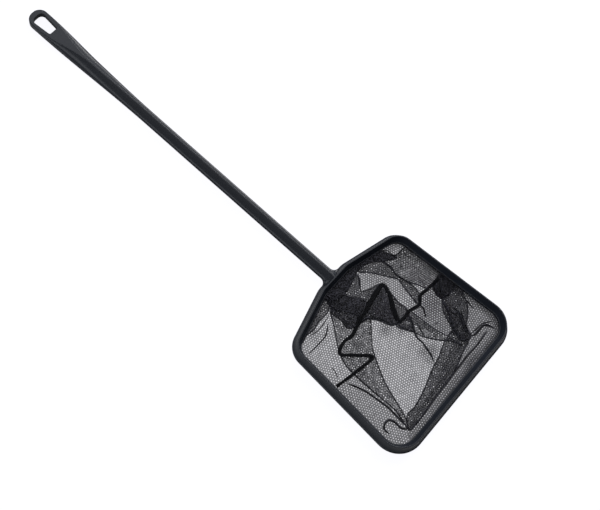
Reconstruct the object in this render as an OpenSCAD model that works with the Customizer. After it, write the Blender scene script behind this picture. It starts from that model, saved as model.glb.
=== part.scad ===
// Aquarium fish net: a one-piece moulded hoop and handle, with a soft net bag
// whose edge is clamped in the hoop by a ring. It lies on its back, the bag
// collapsed in folds inside the hoop.
// Millimetres. X runs from the hanging end to the far side of the hoop, Y runs
// across, Z is up. The origin is the middle of the box, on the resting face.

/* [Overall] */
// Length from the hanging end to the far side of the hoop
total_l = 389.5; // [330:0.5:480]

/* [Hoop outline] */
// Width at the far side, between the points where the straight sides meet
far_w = 130; // [110:1:160]
// Width at the shoulders, between the points where the straight sides meet
near_w = 115; // [95:1:130]
// Length from the far side to the shoulder corners
side_l = 103.8; // [80:0.2:130]
// Depth of the sloping shoulders, from their corners to the neck
shoulder_l = 12; // [8:0.5:18]
// Width of the short straight side that carries the handle
neck_w = 24; // [20:1:34]
// Outer radius of the two far corners
far_r = 19; // [14:0.5:26]
// Outer radius of the two shoulder corners
near_r = 15; // [12:0.5:22]
// Outer radius where the shoulders bend into the neck
neck_r = 18; // [12:0.5:26]

/* [Rim section] */
// Height of the rim
rim_h = 8; // [6:0.5:12]
// Height of the upright outer edge, below the hollow flank
edge_h = 0.9; // [0.5:0.1:1.5]
// Width of the hollow outer flank
flank_w = 2.6; // [1.8:0.1:4]
// Width of the flat crest
crest_w = 0.9; // [0.6:0.1:1.5]
// Width of the sloping inner wall
wall_w = 2.1; // [1.4:0.1:3]
// Width of the ledge at the foot of the inner wall
ledge_w = 0.5; // [0.3:0.1:2]
// Height of the ledge's upper face
ledge_top = 2.6; // [2.4:0.1:3.5]

/* [Net clamp] */
// Height of the ring that clamps the net's edge
ring_h = 1.2; // [0.8:0.1:1.3]
// Width of the clamping ring
ring_w = 2.6; // [1.8:0.1:3]
// Thickness of the clamped net
net_t = 0.4; // [0.3:0.05:0.5]

/* [Handle] */
// Width of the handle's stem
stem_w = 9.5; // [7:0.5:12]
// Width of the flat end with the hanging hole
eye_w = 14.2; // [13:0.2:18]
// Thickness of the flat end
eye_h = 5; // [4:0.5:7]
// Corner radius of the hanging end
eye_r = 6.3; // [4:0.1:6.4]
// Distance from the hanging end to where the flat end begins to narrow
taper_start = 15; // [10:1:24]
// Length over which the flat end narrows to the stem
taper_l = 95; // [70:1:160]
// Distance from the hanging end to where the hollow flanks begin
scoop_start = 9; // [7:1:16]
// Distance from the hanging end to where the flat top has narrowed to a crest
scoop_end = 56; // [40:1:90]
// Radius of the fillets between the handle and the hoop
fillet_r = 4; // [2:0.5:6]

/* [Hanging hole] */
// Length of the hanging hole
hole_l = 16.4; // [11:0.2:18]
// Width of the hanging hole at its end toward the tip
hole_w = 10; // [7:0.2:10.4]
// Width of the hanging hole at its end toward the stem
hole_end_w = 7.2; // [4.4:0.2:7.6]
// Distance from the hanging end to the hole
hole_gap = 3.8; // [2:0.2:5]
// Corner radius at the hole's end toward the tip
hole_tip_r = 3.4; // [2:0.2:3.4]
// Corner radius at the hole's end toward the stem
hole_r = 1.2; // [0.5:0.1:2]

/* [Net bag] */
// Thickness of one layer of the lying net
layer_t = 0.5; // [0.3:0.05:0.6]
// Width of the overlocked seam
seam_w = 2.4; // [1.4:0.1:3.2]
// Height of the overlocked seam
seam_h = 0.9; // [0.6:0.1:1.2]
// Clearance between the bag's folds and the hoop
bag_gap = 0.6; // [0.4:0.1:1.5]
// Openings across the net's width, which stand in for its finer mesh
mesh_count = 11; // [6:1:12]
// Solid border between the openings and the hoop or the seam
mesh_border = 0.5; // [0.4:0.1:3]

/* [Hidden] */
$fn = 96;
overrun = 1;
flank_steps = 6;
arc_steps = 10;
flank_power = 2.2;
hoop_colour = "#2b2d31";
ring_colour = "#1b1c1f";
net_colour = "#4a4850";
seam_colour = "#101114";

band_w = flank_w + crest_w + wall_w + ledge_w;
clamp_top = ring_h + net_t;
ring_u = band_w - ring_w;
far_x = total_l / 2;
tip_x = -total_l / 2;
near_x = far_x - side_l;
neck_x = near_x - shoulder_l;
hoop_x = (far_x + neck_x) / 2;

// Corner points of the hoop's outer edge, counter-clockwise, and their radii
corners = [
  [far_x, -far_w / 2], [far_x, far_w / 2],
  [near_x, near_w / 2], [neck_x, neck_w / 2],
  [neck_x, -neck_w / 2], [near_x, -near_w / 2]
];
radii = [far_r, far_r, near_r, neck_r, neck_r, near_r];

function along(a) = [cos(a), sin(a)];
function inward(a) = [-sin(a), cos(a)];
function smooth(u) = let (v = min(max(u, 0), 1)) v * v * (3 - 2 * v);

// Places round an outline given by its corners, counter-clockwise, and their radii:
// the centre, the radius and the direction of each step of each corner's arc
function next(list, i) = list[(i + 1) % len(list)];
function heading(list, i) = let (d = next(list, i) - list[i % len(list)]) atan2(d[1], d[0]);
function arc_places(list, radii) = [
  for (i = [0 : len(list) - 1])
    let (
      a = heading(list, i + len(list) - 1),
      turn = (heading(list, i) - a + 720) % 360,
      c = list[i] - radii[i] * tan(turn / 2) * along(a) + radii[i] * inward(a)
    )
    for (k = [0 : arc_steps]) [c, radii[i], a - 90 + turn * k / arc_steps]
];

// Points of a rounded outline moved in by u
function at_place(s, u) = s[0] + (s[1] - u) * along(s[2]);
function outline(places, u) = [for (s = places) at_place(s, u)];

hoop_places = arc_places(corners, radii);

// Points of a hollow flank, from an upright edge at y = w up to a crest at y = c
function flank(w, c, e, h) = [
  for (k = [0 : flank_steps])
    let (q = k / flank_steps) [w + (c - w) * q, e + (h - e) * pow(q, flank_power)]
];

// Section of the hoop's rim: distance in from the outer edge, and height
rim_flank = flank(flank_w, 0, edge_h, rim_h);
rim_section = concat(
  [
    [ring_u, 0],
    [ring_u, clamp_top],
    [band_w, clamp_top],
    [band_w, ledge_top],
    [band_w - ledge_w, ledge_top],
    [flank_w + crest_w, rim_h]
  ],
  [for (k = [flank_steps : -1 : 0]) [flank_w - rim_flank[k][0], rim_flank[k][1]]],
  [[0, 0]]
);

// Triangles of a skin through m rings of n points; a closed skin joins last to first
function skin(m, n, closed) = [
  for (j = [0 : closed ? m - 1 : m - 2], k = [0 : n - 1])
    let (a = j * n + k, b = j * n + (k + 1) % n, c = (a + n) % (m * n), d = (b + n) % (m * n))
    each [[a, c, d], [a, d, b]]
];

// The rim, carried round the hoop
module rim() {
  n = len(rim_section);
  points = [
    for (s = hoop_places, p = rim_section)
      let (q = at_place(s, p[0])) [q[0], q[1], p[1]]
  ];
  polyhedron(points, skin(len(hoop_places), n, true));
}

// Half width of the handle at a distance d from the hanging end
fillet_end = neck_x - tip_x;
function end_round(d) =
  d < eye_r ? sqrt(max(0, eye_r * eye_r - pow(eye_r - d, 2))) - eye_r : 0;
function neck_flare(d) =
  let (f = fillet_r - (fillet_end - d))
  f > 0 ? fillet_r - sqrt(max(0, fillet_r * fillet_r - f * f)) : 0;
function handle_half(d) =
  (eye_w - (eye_w - stem_w) * smooth((d - taper_start) / taper_l)) / 2 + end_round(d)
  + (d > fillet_end ? fillet_r : neck_flare(d));

// Height, crest half width and edge height of the handle at d
function handle_top(d) = eye_h + (rim_h - eye_h) * smooth((d - scoop_start) / taper_l);
function scoop(d) = smooth((d - scoop_start) / (scoop_end - scoop_start));
function crest_half(d) = let (w = handle_half(d)) w - edge_h / 2
  - (w - edge_h / 2 - crest_w / 2) * scoop(d);
function edge_top(d) = let (h = handle_top(d)) h - edge_h / 2
  - (h - edge_h / 2 - edge_h) * scoop(d);

// Distances of the handle's cross-sections from the hanging end
taper_end = taper_start + taper_l;
seat_end = fillet_end + flank_w + crest_w / 2;
stations = concat(
  [for (k = [0 : arc_steps]) eye_r * (1 - cos(90 * k / arc_steps))],
  [for (k = [1 : 3 * arc_steps]) eye_r + (taper_end - eye_r) * k / (3 * arc_steps)],
  [for (k = [0 : arc_steps]) fillet_end - fillet_r * (1 - sin(90 * k / arc_steps))],
  [seat_end]
);

function handle_section(d) =
  let (side = flank(handle_half(d), crest_half(d), edge_top(d), handle_top(d)))
  concat(
    [[tip_x + d, handle_half(d), 0]],
    [for (p = side) [tip_x + d, p[0], p[1]]],
    [for (k = [flank_steps : -1 : 0]) [tip_x + d, -side[k][0], side[k][1]]],
    [[tip_x + d, -handle_half(d), 0]]
  );

// The handle, lofted through its cross-sections
module handle_loft() {
  n = 2 * flank_steps + 4;
  m = len(stations);
  points = [for (d = stations) each handle_section(d)];
  first = [for (k = [1 : n - 2]) [0, k, k + 1]];
  last = [for (k = [1 : n - 2]) [(m - 1) * n, (m - 1) * n + k + 1, (m - 1) * n + k]];
  polyhedron(points, concat(skin(m, n, false), first, last));
}

// The hanging hole: a wide end with large radii toward the tip, a narrow end inward
hole_x = tip_x + hole_gap;
hole_corners = [
  [hole_x, hole_w / 2], [hole_x, -hole_w / 2],
  [hole_x + hole_l, -hole_end_w / 2], [hole_x + hole_l, hole_end_w / 2]
];
hole_places = arc_places(hole_corners, [hole_tip_r, hole_tip_r, hole_r, hole_r]);

module hanging_hole() {
  translate([0, 0, -overrun])
    linear_extrude(rim_h + 2 * overrun)
      polygon(outline(hole_places, 0));
}

module frame() {
  color(hoop_colour)
    difference() {
      union() {
        rim();
        handle_loft();
      }
      hanging_hole();
    }
}

// Clamps the net's edge under the ledge, flush with the rim's underside
module clamp_ring() {
  color(ring_colour)
    linear_extrude(ring_h)
      difference() {
        polygon(outline(hoop_places, ring_u));
        polygon(outline(hoop_places, band_w));
      }
}

// The net: one layer across the hoop at the clamp, in two panels that meet
// along the seam, with the collapsed bag's doubled folds lying on it
net_top = clamp_top;
net_foot = clamp_top - net_t;
inner_l = far_x - neck_x - 2 * band_w;
inner_w = (far_w + near_w) / 2 - 2 * band_w;

// Seam route and fold corners, as shares of the hoop's inner length and width
seam_shares = [
  [-0.065, -0.538], [-0.06, -0.478], [-0.026, -0.322], [-0.013, -0.206],
  [-0.099, -0.269], [-0.184, -0.329], [-0.217, -0.258], [-0.206, -0.19],
  [-0.241, -0.064], [-0.267, 0.083], [-0.277, 0.186], [-0.208, 0.168],
  [-0.119, 0.11], [-0.038, 0.077], [-0.026, 0.131], [-0.008, 0.248],
  [-0.042, 0.294], [-0.033, 0.364], [-0.025, 0.552]
];
neck_fold_shares = [
  [-0.52, -0.10], [-0.44, -0.145], [-0.32, -0.10], [-0.214, -0.04],
  [-0.256, 0.06], [-0.343, 0.073], [-0.435, 0.143], [-0.388, 0.293],
  [-0.314, 0.312], [-0.11, 0.25], [-0.018, 0.247], [-0.038, 0.377],
  [-0.032, 0.46], [-0.126, 0.506], [-0.244, 0.497], [-0.371, 0.442],
  [-0.479, 0.313], [-0.528, 0.11]
];
bottom_fold_shares = [
  [-0.434, -0.142], [-0.364, -0.169], [-0.21, -0.225], [-0.191, -0.04],
  [-0.075, 0.04], [-0.036, 0.075], [-0.116, 0.11], [-0.204, 0.168],
  [-0.273, 0.186], [-0.336, 0.064], [-0.428, 0.133], [-0.459, 0]
];
left_fold_shares = [
  [-0.43, -0.154], [-0.347, -0.213], [-0.166, -0.331], [-0.048, -0.357],
  [0.296, -0.385], [0.452, -0.401], [0.345, -0.342], [0.085, -0.243],
  [-0.013, -0.199], [-0.101, -0.116], [-0.188, -0.044], [-0.283, -0.074]
];
right_fold_shares = [
  [0.234, 0.266], [0.272, 0.152], [0.347, -0.074], [0.396, -0.299],
  [0.452, -0.399], [0.476, -0.342], [0.469, -0.081], [0.45, 0.045],
  [0.415, 0.174], [0.378, 0.289]
];
band_fold_shares = [
  [-0.075, 0.04], [0.085, 0.076], [0.34, 0.211], [0.396, 0.27],
  [0.239, 0.23], [-0.023, 0.166], [-0.034, 0.083]
];
bundle_fold_shares = [
  [-0.023, 0.414], [0.067, 0.375], [0.164, 0.295], [0.256, 0.257],
  [0.368, 0.265], [0.391, 0.322], [0.334, 0.331], [0.284, 0.40],
  [0.204, 0.469], [0.09, 0.506], [0.001, 0.506]
];
fold_shares = [
  neck_fold_shares, bottom_fold_shares, left_fold_shares, right_fold_shares,
  band_fold_shares, bundle_fold_shares
];

function place(p) = [hoop_x + p[0] * inner_l, p[1] * inner_w];
seam_points = [for (p = seam_shares) place(p)];
fold_outlines = [for (f = fold_shares) [for (p = f) place(p)]];
mouth = outline(hoop_places, band_w);

// Whether a point is inside an outline, and its distance from a line through points
function crosses(p, a, b) = (a[1] > p[1]) != (b[1] > p[1])
  && p[0] < a[0] + (b[0] - a[0]) * (p[1] - a[1]) / (b[1] - a[1]);
function inside(p, list) =
  len([for (i = [0 : len(list) - 1]) if (crosses(p, list[i], next(list, i))) i]) % 2 == 1;
function run_gap(p, a, b) =
  let (t = min(max((p - a) * (b - a) / ((b - a) * (b - a)), 0), 1)) norm(p - a - t * (b - a));
function line_gap(p, list) = min([for (i = [1 : len(list) - 1]) run_gap(p, list[i - 1], list[i])]);
function edge_gap(p, list) = line_gap(p, concat(list, [list[0]]));

// Six-sided openings in staggered rows, wherever one fits clear of the hoop and the
// seam with its middle outside the folds, which may lie over the rest of it
mesh_open_share = 0.68;
mesh_pitch = inner_w / mesh_count;
row_pitch = mesh_pitch * sin(60);
mesh_half = mesh_pitch * mesh_open_share / 2;
mesh_reach = mesh_half / cos(30) + mesh_border;
rows = ceil(inner_l / row_pitch / 2);
cells = [
  for (i = [-rows : rows], j = [-mesh_count : mesh_count])
    [hoop_x + i * row_pitch, (j + (i % 2 == 0 ? 0 : 1 / 2)) * mesh_pitch]
];
function is_single(p) = inside(p, mouth) && edge_gap(p, mouth) > mesh_reach
  && line_gap(p, seam_points) > mesh_reach
  && len([for (f = fold_outlines) if (inside(p, f)) 1]) == 0;
openings = [for (p = cells) if (is_single(p)) p];

module hoop_area(u) {
  polygon(outline(hoop_places, u));
}

// The side of the seam toward the handle, out past the hoop
module handle_side_area() {
  polygon(concat(
    seam_points,
    [
      [seam_points[len(seam_points) - 1][0], far_w],
      [tip_x, far_w],
      [tip_x, -far_w],
      [seam_points[0][0], -far_w]
    ]
  ));
}

module mesh_openings() {
  for (p = openings)
    translate(p)
      polygon([for (k = [0 : 5]) mesh_half / cos(30) * along(60 * k + 30)]);
}

module folds() {
  intersection() {
    hoop_area(band_w + bag_gap);
    union() {
      for (f = fold_outlines) polygon(f);
    }
  }
}

module panel_layer() {
  translate([0, 0, net_foot])
    linear_extrude(net_t)
      difference() {
        children();
        mesh_openings();
      }
}

module fold_layer() {
  translate([0, 0, net_top]) linear_extrude(layer_t) children();
}

module net_panel_handle_side() {
  color(net_colour) {
    panel_layer()
      intersection() {
        hoop_area(ring_u);
        handle_side_area();
      }
    fold_layer()
      intersection() {
        folds();
        handle_side_area();
      }
  }
}

module net_panel_far_side() {
  color(net_colour) {
    panel_layer()
      difference() {
        hoop_area(ring_u);
        handle_side_area();
      }
    fold_layer()
      difference() {
        folds();
        handle_side_area();
      }
  }
}

// The overlocked seam lies on top of the folds, from side to side, and bunches a
// little wider at its bends
bend_share = 1.15;

module net_seam() {
  color(seam_colour)
    translate([0, 0, net_top + layer_t])
      linear_extrude(seam_h)
        intersection() {
          hoop_area(band_w + bag_gap);
          for (i = [0 : len(seam_points) - 2]) {
            p = seam_points[i];
            q = seam_points[i + 1];
            d = q - p;
            translate(p) circle(d = seam_w * bend_share);
            translate(p) rotate(atan2(d[1], d[0])) translate([0, -seam_w / 2]) square([norm(d), seam_w]);
          }
        }
}

frame();
clamp_ring();
net_panel_handle_side();
net_panel_far_side();
net_seam();
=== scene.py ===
import math

import bpy
import numpy as np
from mathutils import Matrix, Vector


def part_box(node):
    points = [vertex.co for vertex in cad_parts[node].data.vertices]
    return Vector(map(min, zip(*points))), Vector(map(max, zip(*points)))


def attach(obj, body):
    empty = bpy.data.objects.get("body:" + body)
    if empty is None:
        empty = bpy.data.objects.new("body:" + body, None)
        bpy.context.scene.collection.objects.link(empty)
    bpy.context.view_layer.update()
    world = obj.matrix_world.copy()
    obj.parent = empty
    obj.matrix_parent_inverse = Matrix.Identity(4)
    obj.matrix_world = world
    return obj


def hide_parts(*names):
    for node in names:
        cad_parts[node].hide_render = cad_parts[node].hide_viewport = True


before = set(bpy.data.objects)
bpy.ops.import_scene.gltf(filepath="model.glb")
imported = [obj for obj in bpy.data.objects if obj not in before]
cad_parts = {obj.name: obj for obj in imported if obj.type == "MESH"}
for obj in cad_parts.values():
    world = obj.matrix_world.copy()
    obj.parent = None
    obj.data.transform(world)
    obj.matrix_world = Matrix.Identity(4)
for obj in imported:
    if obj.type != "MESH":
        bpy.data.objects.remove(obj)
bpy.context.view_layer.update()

# Hoop and handle: one injection moulding in satin black plastic. The hoop's rim has a
# hollow outer flank, a narrow flat crest, a sloping inner wall and a ledge over the net.
# The handle's stem has the same crest and flanks, and runs out into a flat eyed end.
MM = 0.001
# Sizes are in millimetres: _x is a place along the handle, _l a length, _w a width, _h a
# height, _r a radius, _t a thickness and _u a distance in from the rim's outer edge
tip_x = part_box("frame")[0].x / MM
far_x, rim_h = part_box("frame")[1].x / MM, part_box("frame")[1].z / MM
far_w, near_w, side_l = 130, 115, 103.8
shoulder_l, neck_w = 12, 24
far_r, near_r, neck_r = 19, 15, 18
edge_h, flank_w, crest_w, wall_w = 0.9, 2.6, 0.9, 2.1
ledge_w, ledge_top = 0.5, 2.6
ring_h, ring_w, net_t = 1.2, 2.6, 0.4
band_w = flank_w + crest_w + wall_w + ledge_w
ring_u = band_w - ring_w
clamp_top = ring_h + net_t
near_x = far_x - side_l
neck_x = near_x - shoulder_l
hoop_corners = [
    (far_x, -far_w / 2),
    (far_x, far_w / 2),
    (near_x, near_w / 2),
    (neck_x, neck_w / 2),
    (neck_x, -neck_w / 2),
    (near_x, -near_w / 2),
]
hoop_radii = [far_r, far_r, near_r, neck_r, neck_r, near_r]

stem_w, eye_w, eye_h, eye_r = 9.5, 14.2, 5, 6.3
taper_start, taper_l, scoop_start, scoop_end = 15, 95, 9, 56
fillet_r = 4
hole_l, hole_w, hole_end_w, hole_gap = 16.4, 10, 7.2, 3.8
hole_tip_r, hole_r = 3.4, 1.2

soft_edge, foot_edge, hole_edge = 0.22, 0.35, 0.55
flank_power = 2.2
flank_steps, corner_steps, edge_steps, hole_steps, bevel_steps = 14, 24, 4, 12, 6
eye_steps, foot_steps, taper_steps, stem_steps, fillet_steps = 20, 5, 60, 11, 14
sharp_angle = math.radians(34)


def along(angle):
    """The direction at an angle in degrees."""
    return np.array([math.cos(math.radians(angle)), math.sin(math.radians(angle))])


def heading(a, b):
    """The angle of the way from one place to another, in degrees."""
    return math.degrees(math.atan2(b[1] - a[1], b[0] - a[0]))


def arc_places(corners, radii, steps):
    """Centre, radius and direction of each step round an outline's rounded corners."""
    places = []
    for i, (corner, r) in enumerate(zip(corners, radii)):
        a = heading(corners[i - 1], corner)
        turn = (heading(corner, corners[(i + 1) % len(corners)]) - a) % 360
        reach = r * math.tan(math.radians(turn / 2))
        centre = np.array(corner) - reach * along(a) + r * along(a + 90)
        places += [(centre, r, a - 90 + turn * k / steps) for k in range(steps + 1)]
    return places


def outline(places, inset):
    """The outline through arc places, drawn in by an inset."""
    return np.array([centre + (r - inset) * along(a) for centre, r, a in places])


def eased(corners, radii):
    """A polygon with each corner eased over its radius."""
    out = []
    for i, (corner, r) in enumerate(zip(corners, radii)):
        p = np.array(corner, float)
        if r == 0:
            out.append(p)
            continue
        before = np.array(corners[i - 1], float) - p
        after = np.array(corners[(i + 1) % len(corners)], float) - p
        a = p + before / np.linalg.norm(before) * r
        b = p + after / np.linalg.norm(after) * r
        for t in np.linspace(0, 1, edge_steps + 1):
            out.append((1 - t) ** 2 * a + 2 * t * (1 - t) * p + t**2 * b)
    return out


def skin(rings, closed=False):
    """Points and faces of rings of equal length; if closed, the last joins the first."""
    m, n = len(rings), len(rings[0])
    faces = []
    for j in range(m if closed else m - 1):
        for k in range(n):
            a, b = j * n + k, j * n + (k + 1) % n
            c, d = (a + n) % (m * n), (b + n) % (m * n)
            faces.append((a, c, d, b))
    if not closed:
        faces.append(tuple(range(n)))
        faces.append(tuple(range((m - 1) * n, m * n))[::-1])
    return [p for ring in rings for p in ring], faces


def mesh_of(name, points, faces):
    """A mesh in metres from points in millimetres."""
    mesh = bpy.data.meshes.new(name)
    mesh.from_pydata([tuple(c * MM for c in p) for p in points], [], faces)
    mesh.validate()
    mesh.update()
    return mesh


def swept_band(name, section, places):
    """A closed band: a section of (inset, height) points carried round an outline."""
    rings = []
    for centre, r, a in places:
        rings.append([(*(centre + (r - u) * along(a)), z) for u, z in section])
    return mesh_of(name, *skin(rings, closed=True))


def smooth(u):
    """A soft step from 0 to 1."""
    v = np.clip(u, 0, 1)
    return v * v * (3 - 2 * v)


def flank(edge, crest, low, high):
    """A hollow flank, from an upright edge that ends at low up to a crest at high."""
    steps = [k / flank_steps for k in range(flank_steps + 1)]
    return [(edge + (crest - edge) * q, low + (high - low) * q**flank_power) for q in steps]


hoop_places = arc_places(hoop_corners, hoop_radii, corner_steps)
rim_flank = [(flank_w - u, z) for u, z in flank(flank_w, 0, edge_h, rim_h)]
rim_corners = [
    (ring_u, 0),
    (ring_u, clamp_top),
    (band_w, clamp_top),
    (band_w, ledge_top),
    (band_w - ledge_w, ledge_top),
    (flank_w + crest_w, rim_h),
    *rim_flank[::-1],
    (0, 0),
]
rim_ease = [0, 0, 0, soft_edge, soft_edge, soft_edge, soft_edge]
rim_ease += [0] * (flank_steps - 1) + [soft_edge, foot_edge]
rim_mesh = swept_band("rim", eased(rim_corners, rim_ease), hoop_places)

fillet_end = neck_x - tip_x
seat_end = fillet_end + flank_w + crest_w / 2


def handle_half(d):
    """Half the handle's width at a distance d from the hanging end."""
    half = (eye_w - (eye_w - stem_w) * smooth((d - taper_start) / taper_l)) / 2
    if d < eye_r:
        half += math.sqrt(max(0, eye_r**2 - (eye_r - d) ** 2)) - eye_r
    into_fillet = fillet_r - (fillet_end - d)
    if d > fillet_end:
        half += fillet_r
    elif into_fillet > 0:
        half += fillet_r - math.sqrt(max(0, fillet_r**2 - into_fillet**2))
    return half


def handle_section(d):
    """The handle's cross-section at a distance d from the hanging end."""
    half = handle_half(d)
    high = eye_h + (rim_h - eye_h) * smooth((d - scoop_start) / taper_l)
    scoop = smooth((d - scoop_start) / (scoop_end - scoop_start))
    crest = half - edge_h / 2 - (half - edge_h / 2 - crest_w / 2) * scoop
    low = high - edge_h / 2 - (high - edge_h / 2 - edge_h) * scoop
    right = [(half, 0), *flank(half, crest, low, high)]
    left = [(-y, z) for y, z in right[::-1]]
    ease = [foot_edge, soft_edge] + [0] * (flank_steps - 1) + [soft_edge]
    section = eased(right + left, ease + ease[::-1])
    tuck = foot_edge - math.sqrt(max(0, foot_edge**2 - max(0, foot_edge - d) ** 2))
    return [(tip_x + d, y, tuck + z * (high - 2 * tuck) / high) for y, z in section]


# Distances from the hanging end at which the handle's section is taken
stations = [eye_r * (1 - math.cos(math.pi / 2 * k / eye_steps)) for k in range(eye_steps + 1)]
stations += [foot_edge * (1 - math.cos(math.pi / 2 * k / foot_steps)) for k in range(1, foot_steps)]
stations += list(np.linspace(eye_r, taper_start + taper_l, taper_steps + 1)[1:])
stations += list(np.linspace(taper_start + taper_l, fillet_end - fillet_r, stem_steps + 1)[1:])
stations += [
    fillet_end - fillet_r * (1 - math.sin(math.pi / 2 * k / fillet_steps))
    for k in range(1, fillet_steps + 1)
]
sections = [handle_section(d) for d in sorted(set(round(d, 4) for d in stations + [seat_end]))]
handle_mesh = mesh_of("handle", *skin(sections))

hole_x = tip_x + hole_gap
hole_places = arc_places(
    [
        (hole_x, hole_w / 2),
        (hole_x, -hole_w / 2),
        (hole_x + hole_l, -hole_end_w / 2),
        (hole_x + hole_l, hole_end_w / 2),
    ],
    [hole_tip_r, hole_tip_r, hole_r, hole_r],
    hole_steps,
)
# The hole's cutter opens out at both faces, so that its rims come out rounded
cutter_steps = [k / bevel_steps for k in range(bevel_steps + 1)]
cutter_levels = [(-rim_h, hole_edge)]
cutter_levels += [
    (hole_edge * (1 - math.cos(math.pi / 2 * q)), hole_edge * (1 - math.sin(math.pi / 2 * q)))
    for q in cutter_steps
]
cutter_levels += [
    (eye_h - hole_edge * math.sin(math.pi / 2 * q), hole_edge * (1 - math.cos(math.pi / 2 * q)))
    for q in cutter_steps[::-1]
]
cutter_levels += [(2 * rim_h, hole_edge)]
cutter_rings = [[(*p, z) for p in outline(hole_places, -grow)] for z, grow in cutter_levels]
cutter_mesh = mesh_of("hole", *skin(cutter_rings))


def piece(name, mesh):
    """A mesh put into the scene."""
    ob = bpy.data.objects.new(name, mesh)
    bpy.context.scene.collection.objects.link(ob)
    return ob


def combined(base, tool, operation):
    """The mesh that is left when one closed mesh is joined to another or cut by it."""
    a, b = piece("base", base), piece("tool", tool)
    step = a.modifiers.new("step", "BOOLEAN")
    step.object, step.operation, step.solver = b, operation, "EXACT"
    graph = bpy.context.evaluated_depsgraph_get()
    made = bpy.data.meshes.new_from_object(a.evaluated_get(graph))
    bpy.data.objects.remove(a)
    bpy.data.objects.remove(b)
    return made


def face_outwards(mesh):
    """A closed mesh's faces, turned over if they look inwards."""
    if sum(f.normal.z * f.center.z * f.area for f in mesh.polygons) < 0:
        mesh.flip_normals()


for mesh in (rim_mesh, handle_mesh, cutter_mesh):
    face_outwards(mesh)
hoop_mesh = combined(combined(rim_mesh, handle_mesh, "UNION"), cutter_mesh, "DIFFERENCE")
hoop = piece("hoop_and_handle", hoop_mesh)
hoop_mesh.shade_smooth()
hoop_mesh.set_sharp_from_angle(angle=sharp_angle)
hoop.modifiers.new("even_shading", "WEIGHTED_NORMAL").keep_sharp = True
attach(hoop, "root")
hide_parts("frame")


def value_group(name, inputs, outputs):
    """An empty shader node group with named inputs and outputs."""
    tree = bpy.data.node_groups.new(name, "ShaderNodeTree")
    for label, kind, value in inputs:
        socket = tree.interface.new_socket(label, in_out="INPUT", socket_type=kind)
        socket.default_value = value
    for label, kind in outputs:
        tree.interface.new_socket(label, in_out="OUTPUT", socket_type=kind)
    return tree, tree.nodes.new("NodeGroupInput"), tree.nodes.new("NodeGroupOutput")


def node(tree, kind, links=(), **settings):
    """A node with its inputs set from values or from other nodes' outputs."""
    made = tree.nodes.new(kind)
    for name, value in settings.items():
        setattr(made, name, value)
    for key, value in dict(links).items():
        if isinstance(value, bpy.types.NodeSocket):
            tree.links.new(value, made.inputs[key])
        else:
            made.inputs[key].default_value = value
    return made


def maths(tree, operation, *values, **settings):
    """The outcome of a sum with values or other nodes' outputs."""
    made = node(tree, "ShaderNodeMath", dict(enumerate(values)), operation=operation, **settings)
    return made.outputs[0]


def place_in_mm(tree):
    """The place on a piece, in millimetres."""
    place = node(tree, "ShaderNodeTexCoord").outputs["Object"]
    return node(
        tree, "ShaderNodeVectorMath", {0: place, 1: (1 / MM, 1 / MM, 1 / MM)}, operation="MULTIPLY"
    )


def noise(tree, where, scale, detail, roughness=0.5):
    """Noise over a piece; its scale is how many of its grains fit in a millimetre."""
    made = node(
        tree,
        "ShaderNodeTexNoise",
        {"Vector": where.outputs[0], "Scale": scale, "Detail": detail, "Roughness": roughness},
    )
    return made.outputs["Fac"]


def stretched(tree, value, low, high, to_low=0.0, to_high=1.0):
    """A value between low and high, stretched to a new range and kept inside it."""
    made = node(
        tree,
        "ShaderNodeMapRange",
        {"Value": value, "From Min": low, "From Max": high, "To Min": to_low, "To Max": to_high},
    )
    return made.outputs["Result"]


# The moulding's finish: a fine spark-eroded grain, faint flow clouds and rubbed spots
grain_group, grain_in, grain_out = value_group(
    "moulded_finish",
    [("Grain Size", "NodeSocketFloat", 0.25), ("Cloud Size", "NodeSocketFloat", 18.0)],
    [("Grain", "NodeSocketFloat"), ("Clouds", "NodeSocketFloat"), ("Rubbed", "NodeSocketFloat")],
)
grain_place = place_in_mm(grain_group)
grain_scale = maths(grain_group, "DIVIDE", 1.0, grain_in.outputs["Grain Size"])
cloud_scale = maths(grain_group, "DIVIDE", 1.0, grain_in.outputs["Cloud Size"])
rub_scale, rub_from, rub_to = 0.9, 0.56, 0.72
rub_noise = noise(grain_group, grain_place, rub_scale, detail=6.0, roughness=0.75)
for output, value in (
    ("Grain", noise(grain_group, grain_place, grain_scale, detail=3.0, roughness=0.6)),
    ("Clouds", noise(grain_group, grain_place, cloud_scale, detail=2.0)),
    ("Rubbed", stretched(grain_group, rub_noise, rub_from, rub_to)),
):
    grain_group.links.new(value, grain_out.inputs[output])


def blend(tree, share, dark, light):
    """The colour between a darker and a lighter one."""
    mix = tree.nodes.new("ShaderNodeMix")
    mix.data_type = "RGBA"
    tree.links.new(share, mix.inputs["Factor"])
    colours = [s for s in mix.inputs if s.type == "RGBA"]
    colours[0].default_value, colours[1].default_value = (*dark, 1), (*light, 1)
    return next(s for s in mix.outputs if s.type == "RGBA")


def material_with(name, group):
    """A material with a node group placed in it: the material, its shader and the group."""
    material = bpy.data.materials.new(name)
    material.use_nodes = True
    tree = material.node_tree
    return material, tree.nodes["Principled BSDF"], node(tree, "ShaderNodeGroup", node_tree=group)


def add_bump(tree, height, strength, depth):
    """Fine relief on a material's surface, from a height that changes over it."""
    relief = node(
        tree, "ShaderNodeBump", {"Height": height, "Strength": strength, "Distance": depth * MM}
    )
    tree.links.new(relief.outputs["Normal"], tree.nodes["Principled BSDF"].inputs["Normal"])


plastic_shine, grain_depth = 0.2, 0.02


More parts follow.
